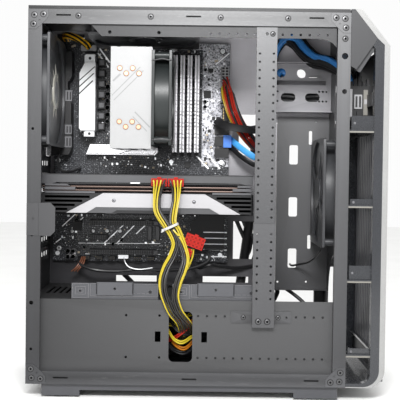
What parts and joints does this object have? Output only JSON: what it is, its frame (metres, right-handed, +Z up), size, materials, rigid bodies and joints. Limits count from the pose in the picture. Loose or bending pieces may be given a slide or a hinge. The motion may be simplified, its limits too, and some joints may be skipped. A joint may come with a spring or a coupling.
{
  "type": "desktop computer tower",
  "caption": "Open-sided desktop computer tower: steel case with board, air cooler, graphics card, fans, power supply under a shroud, loose power leads and a chamfered front bezel",
  "frame": {"origin": "on the floor under the middle of the tower's bounding box", "axes": "+Z up, +X towards the front bezel, -Y towards the open access side"},
  "size_m": [0.442, 0.22, 0.48],
  "materials": {
    "frame_steel": "fine powder coat, satin",
    "dark_steel": "fine powder coat, satin",
    "dark_plastic": "fine moulded texture",
    "black_plastic": "fine moulded texture",
    "trim_silver": "silver painted plastic",
    "pad_rubber": "matt",
    "board_laminate": "solder mask, semi-gloss",
    "light_metal": "brushed, clear",
    "white_metal": "white coat",
    "copper_pipe": null,
    "screw_steel": "blackened zinc",
    "red_plug": "moulded",
    "cable_yellow": "pvc sheath",
    "cable_blue": "pvc sheath"
  },
  "bodies": {
    "chassis": {"chassis_floor": "dark_steel", "rear_panel": "frame_steel", "front_wall": "dark_steel", "chassis_top": "frame_steel", "motherboard_tray": "dark_steel", "side_frame_left": "frame_steel", "side_frame_right": "frame_steel", "corner_brackets": "dark_steel", "frame_screws": "screw_steel", "top_cover": "frame_steel", "top_flange": "frame_steel", "slot_lock_plate": "dark_steel", "slot_covers": "frame_steel", "psu_shroud": "dark_steel", "drive_caddies": "black_plastic", "support_column_upper": "frame_steel", "support_column_lower": "frame_steel", "column_bracket": "dark_steel", "cable_cover_plate": "dark_steel", "drive_bracket": "dark_steel", "base_feet": "dark_plastic", "foot_pads": "pad_rubber", "bezel_frame": "dark_plastic", "bezel_trim": "trim_silver", "bezel_gussets": "frame_steel", "front_panel": "dark_plastic", "front_io": "light_metal", "board_pcb": "board_laminate", "board_standoffs": "copper_pipe", "rear_ports": "dark_plastic", "board_heatsinks": "white_metal", "board_parts": "dark_plastic", "memory_slots": "dark_plastic", "memory_modules": "light_metal", "expansion_slots": "dark_plastic", "board_sockets": "dark_plastic", "cooler_base": "light_metal", "cooler_pipes": "copper_pipe", "cooler_fins": "light_metal", "cooler_cap": "white_metal", "fan_frames": "black_plastic", "card_board": "frame_steel", "card_heatsink": "light_metal", "card_pipes": "copper_pipe", "card_shroud": "black_plastic", "card_plugs": "red_plug", "psu_body": "dark_steel", "power_cables": "cable_yellow", "data_cables": "cable_blue"},
    "rear_fan": {"rear_fan_rotor": "dark_plastic"},
    "top_fan": {"top_fan_rotor": "dark_plastic"},
    "front_fan": {"front_fan_rotor": "dark_plastic"},
    "cooler_fan": {"cooler_fan_rotor": "dark_plastic"},
    "card_fan_a": {"card_rotor_a": "dark_plastic"},
    "card_fan_b": {"card_rotor_b": "dark_plastic"},
    "card_fan_c": {"card_rotor_c": "dark_plastic"},
    "psu_fan": {"psu_rotor": "dark_plastic"},
    "power_key": {"power_button": "trim_silver"},
    "reset_key": {"reset_button": "trim_silver"},
    "filter": {"floor_filter": "black_plastic"}
  },
  "joints": [
    {"name": "rear_fan_spin", "type": "hinge", "parent": "chassis", "child": "rear_fan", "pos_m": [-0.205, -0.0355, 0.38], "axis": [1, 0, 0], "continuous": true},
    {"name": "top_fan_spin", "type": "hinge", "parent": "chassis", "child": "top_fan", "pos_m": [-0.081, -0.01, 0.46], "axis": [0, 0, 1], "continuous": true},
    {"name": "front_fan_spin", "type": "hinge", "parent": "chassis", "child": "front_fan", "pos_m": [0.16, 0, 0.255], "axis": [1, 0, 0], "continuous": true},
    {"name": "cooler_fan_spin", "type": "hinge", "parent": "chassis", "child": "cooler_fan", "pos_m": [-0.056, -0.0355, 0.371], "axis": [1, 0, 0], "continuous": true},
    {"name": "card_fan_a_spin", "type": "hinge", "parent": "chassis", "child": "card_fan_a", "pos_m": [-0.164, -0.001, 0.23], "axis": [0, 0, 1], "continuous": true},
    {"name": "card_fan_b_spin", "type": "hinge", "parent": "chassis", "child": "card_fan_b", "pos_m": [-0.076, -0.001, 0.23], "axis": [0, 0, 1], "continuous": true},
    {"name": "card_fan_c_spin", "type": "hinge", "parent": "chassis", "child": "card_fan_c", "pos_m": [0.012, -0.001, 0.23], "axis": [0, 0, 1], "continuous": true},
    {"name": "psu_fan_spin", "type": "hinge", "parent": "chassis", "child": "psu_fan", "pos_m": [-0.142, -0.005, 0.035], "axis": [0, 0, 1], "continuous": true},
    {"name": "power_key_press", "type": "slide", "parent": "chassis", "child": "power_key", "axis": [-1, 0, 0], "range_m": [0, 0.0015], "stiffness_N_per_m": 400},
    {"name": "reset_key_press", "type": "slide", "parent": "chassis", "child": "reset_key", "axis": [-1, 0, 0], "range_m": [0, 0.0015], "stiffness_N_per_m": 400},
    {"name": "filter_slide", "type": "slide", "parent": "chassis", "child": "filter", "axis": [-1, 0, 0], "range_m": [0, 0.15]}
  ]
}
